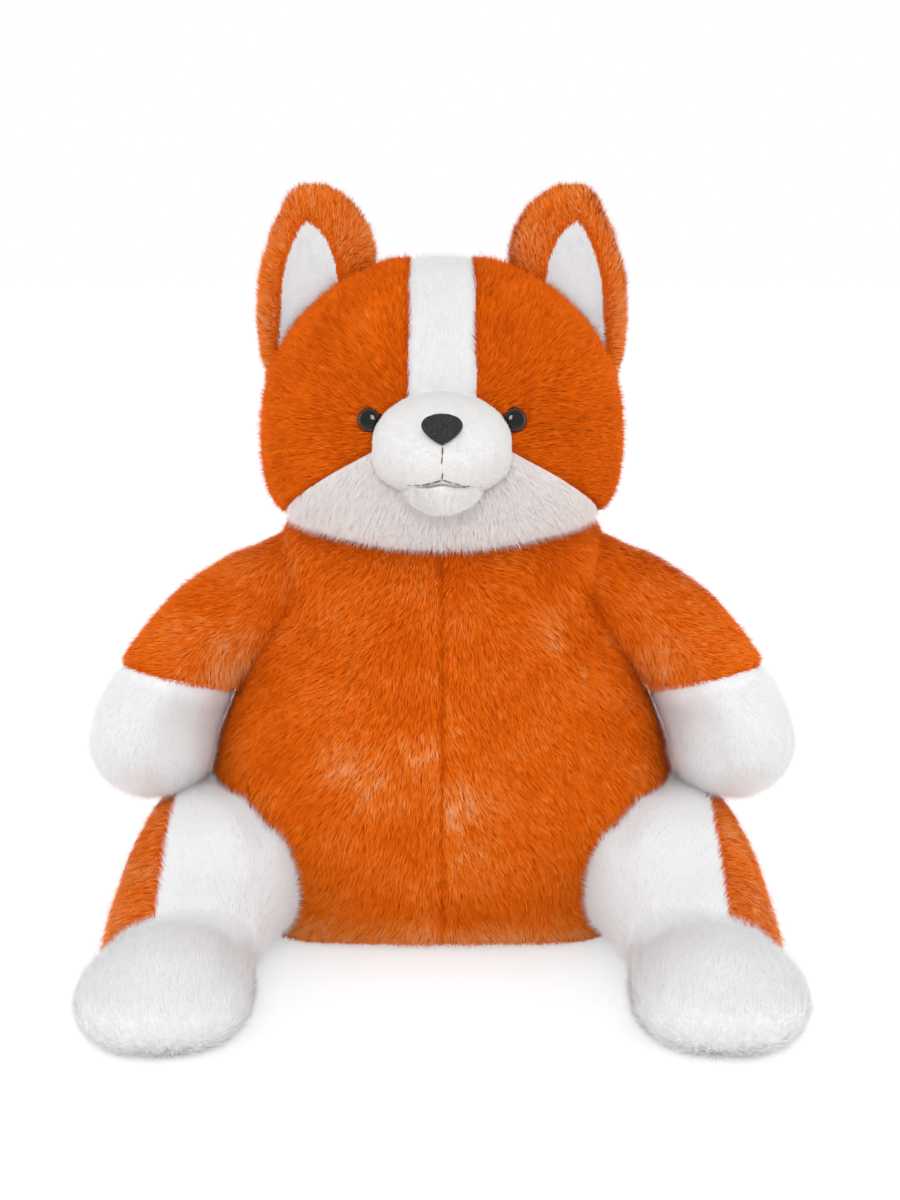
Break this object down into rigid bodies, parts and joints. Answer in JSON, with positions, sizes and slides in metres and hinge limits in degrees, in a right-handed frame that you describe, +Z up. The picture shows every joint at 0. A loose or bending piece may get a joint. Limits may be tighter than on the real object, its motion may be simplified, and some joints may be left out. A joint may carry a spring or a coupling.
{
  "type": "plush corgi",
  "caption": "Seated plush corgi sewn from orange and white long-pile panels over stuffing, with a turning head, swinging arms, lifting legs and folding ears.",
  "frame": {"origin": "middle of the flat base that the toy sits on", "axes": "+Z up, the face looks along -Y, the toy's own left is +X"},
  "size_m": [0.3634, 0.2905, 0.389],
  "materials": {
    "orange_pile": "long soft orange pile, combed down",
    "white_pile": "long soft white pile",
    "white_short_pile": "short smooth white pile",
    "stuffing": "loose polyester fibre",
    "nose_plastic": "matt dark grey moulded",
    "eye_plastic": "glossy black",
    "washer_plastic": "natural moulded",
    "mouth_thread": "dark grey embroidery thread"
  },
  "bodies": {
    "torso": {"torso_front_left": "orange_pile", "torso_front_right": "orange_pile", "torso_back_left": "orange_pile", "torso_back_right": "orange_pile", "torso_base": "orange_pile", "torso_stuffing": "stuffing"},
    "head": {"face_left": "orange_pile", "face_right": "orange_pile", "blaze": "white_pile", "head_back_left": "orange_pile", "head_back_right": "orange_pile", "chin_panel": "white_pile", "head_stuffing": "stuffing", "muzzle_cover": "white_short_pile", "muzzle_stuffing": "stuffing", "lower_lip": "white_short_pile", "nose": "nose_plastic", "nose_washer": "washer_plastic", "mouth_stitch": "mouth_thread", "eye_left": "eye_plastic", "eye_washer_left": "washer_plastic", "eye_right": "eye_plastic", "eye_washer_right": "washer_plastic"},
    "ear_left": {"ear_left_back": "orange_pile", "ear_left_rim": "orange_pile", "ear_left_lining": "white_pile"},
    "ear_right": {"ear_right_back": "orange_pile", "ear_right_rim": "orange_pile", "ear_right_lining": "white_pile"},
    "arm_left": {"arm_left_sleeve": "orange_pile", "arm_left_paw": "white_pile", "arm_left_stuffing": "stuffing"},
    "arm_right": {"arm_right_sleeve": "orange_pile", "arm_right_paw": "white_pile", "arm_right_stuffing": "stuffing"},
    "leg_left": {"leg_left_outer": "orange_pile", "leg_left_front": "white_pile", "leg_left_stuffing": "stuffing", "foot_left_upper": "white_pile", "foot_left_sole": "white_pile", "foot_left_stuffing": "stuffing"},
    "leg_right": {"leg_right_outer": "orange_pile", "leg_right_front": "white_pile", "leg_right_stuffing": "stuffing", "foot_right_upper": "white_pile", "foot_right_sole": "white_pile", "foot_right_stuffing": "stuffing"}
  },
  "joints": [
    {"name": "neck_turn", "type": "hinge", "parent": "torso", "child": "head", "pos_m": [0, 0, 0.206], "axis": [0, 0, 1], "range_deg": [-30, 30], "stiffness_Nm_per_rad": 0.6},
    {"name": "ear_left_fold", "type": "hinge", "parent": "head", "child": "ear_left", "pos_m": [0.067, 0.006, 0.32757], "axis": [0.6846, 0, -0.7289], "range_deg": [-20, 20], "stiffness_Nm_per_rad": 0.06},
    {"name": "ear_right_fold", "type": "hinge", "parent": "head", "child": "ear_right", "pos_m": [-0.067, 0.006, 0.32757], "axis": [0.6846, 0, 0.7289], "range_deg": [-20, 20], "stiffness_Nm_per_rad": 0.06},
    {"name": "shoulder_left", "type": "hinge", "parent": "torso", "child": "arm_left", "pos_m": [0.08536, -0.006, 0.173], "axis": [-0.9102, 0, -0.4142], "range_deg": [-10, 75], "stiffness_Nm_per_rad": 0.6},
    {"name": "shoulder_right", "type": "hinge", "parent": "torso", "child": "arm_right", "pos_m": [-0.08536, -0.006, 0.173], "axis": [-0.9102, 0, 0.4142], "range_deg": [-10, 75], "stiffness_Nm_per_rad": 0.6},
    {"name": "hip_left", "type": "hinge", "parent": "torso", "child": "leg_left", "pos_m": [0.107, -0.06, 0.082], "axis": [-0.9511, -0.309, 0], "range_deg": [0, 30], "stiffness_Nm_per_rad": 0.6},
    {"name": "hip_right", "type": "hinge", "parent": "torso", "child": "leg_right", "pos_m": [-0.107, -0.06, 0.082], "axis": [-0.9511, 0.309, 0], "range_deg": [0, 30], "stiffness_Nm_per_rad": 0.6}
  ]
}
